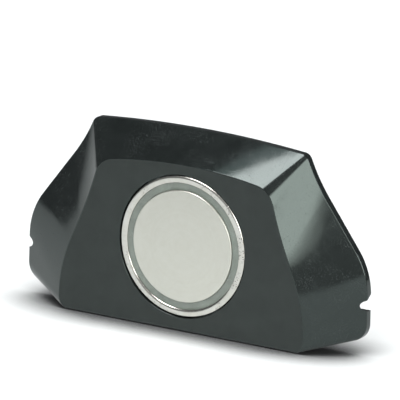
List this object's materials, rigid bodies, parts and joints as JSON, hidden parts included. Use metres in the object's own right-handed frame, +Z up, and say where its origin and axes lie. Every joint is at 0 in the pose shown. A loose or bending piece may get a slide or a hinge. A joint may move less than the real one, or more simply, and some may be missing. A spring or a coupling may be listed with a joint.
{
  "type": "proximity sensor",
  "caption": "Bell-shaped panel-mounted proximity sensor: a flat moulded shell with a round plated sensing head, pushed onto a base plate that carries the wiring.",
  "frame": {"origin": "where the sensing axis meets the panel, midway between the two middle fixing holes, on the base plate's back face", "axes": "+Y goes into the panel, the sensing face looks along -Y, +Z is up and +X is to the right seen from the front"},
  "size_m": [0.1644, 0.0154, 0.0839],
  "materials": {
    "shell": "moulded, matte front and glossy flanks",
    "base_plastic": "satin",
    "seal": "matte",
    "board": "solder mask",
    "terminal_plastic": "satin",
    "contact_brass": "satin",
    "screw_steel": "zinc plated",
    "switch_plastic": "satin",
    "slider_plastic": "satin",
    "trimmer_plastic": "satin",
    "rotor_plastic": "satin",
    "black_plastic": "satin",
    "capacitor_body": "satin",
    "plated_shield": "bright nickel plate",
    "nut_steel": "turned",
    "face_metal": "satin nickel",
    "isolating_resin": "matte",
    "ferrite": "matte",
    "bobbin_plastic": "satin",
    "copper": "enamelled copper",
    "sheet": "film"
  },
  "bodies": {
    "base": {"base_plate": "base_plastic", "base_gasket": "seal", "terminal_board": "board", "terminal_board_screws": "screw_steel", "terminal_block_left": "terminal_plastic", "terminal_block_right": "terminal_plastic", "wire_clamps": "contact_brass", "terminal_screws": "screw_steel", "switch_body": "switch_plastic", "trimmer_body": "trimmer_plastic", "link_header": "black_plastic", "link_pins": "contact_brass", "output_driver": "black_plastic", "filter_capacitor": "capacitor_body"},
    "shell": {"front_housing": "shell", "shield_cup": "plated_shield", "head_seal": "seal", "clamp_nut": "nut_steel", "sensing_face": "face_metal", "isolating_ring": "isolating_resin", "ferrite_core": "ferrite", "coil_bobbin": "bobbin_plastic", "coil_winding": "copper", "coil_leads": "copper", "insulator_disc": "sheet", "main_board": "board", "main_board_screws": "screw_steel", "oscillator_chip": "black_plastic", "link_socket": "black_plastic"},
    "trimmer": {"trimmer_rotor": "rotor_plastic"},
    "slider_upper": {"switch_slider_upper": "slider_plastic"},
    "slider_lower": {"switch_slider_lower": "slider_plastic"}
  },
  "joints": [
    {"name": "shell_pull_off", "type": "slide", "parent": "base", "child": "shell", "axis": [0, -1, 0], "range_m": [0, 0.04]},
    {"name": "sensitivity_trimmer", "type": "hinge", "parent": "base", "child": "trimmer", "pos_m": [-0.041, -0.0064, -0.0116], "axis": [0, -1, 0], "range_deg": [-135, 135]},
    {"name": "output_switch", "type": "slide", "parent": "base", "child": "slider_upper", "axis": [1, 0, 0], "range_m": [0, 0.0024]},
    {"name": "delay_switch", "type": "slide", "parent": "base", "child": "slider_lower", "axis": [1, 0, 0], "range_m": [0, 0.0024]}
  ]
}
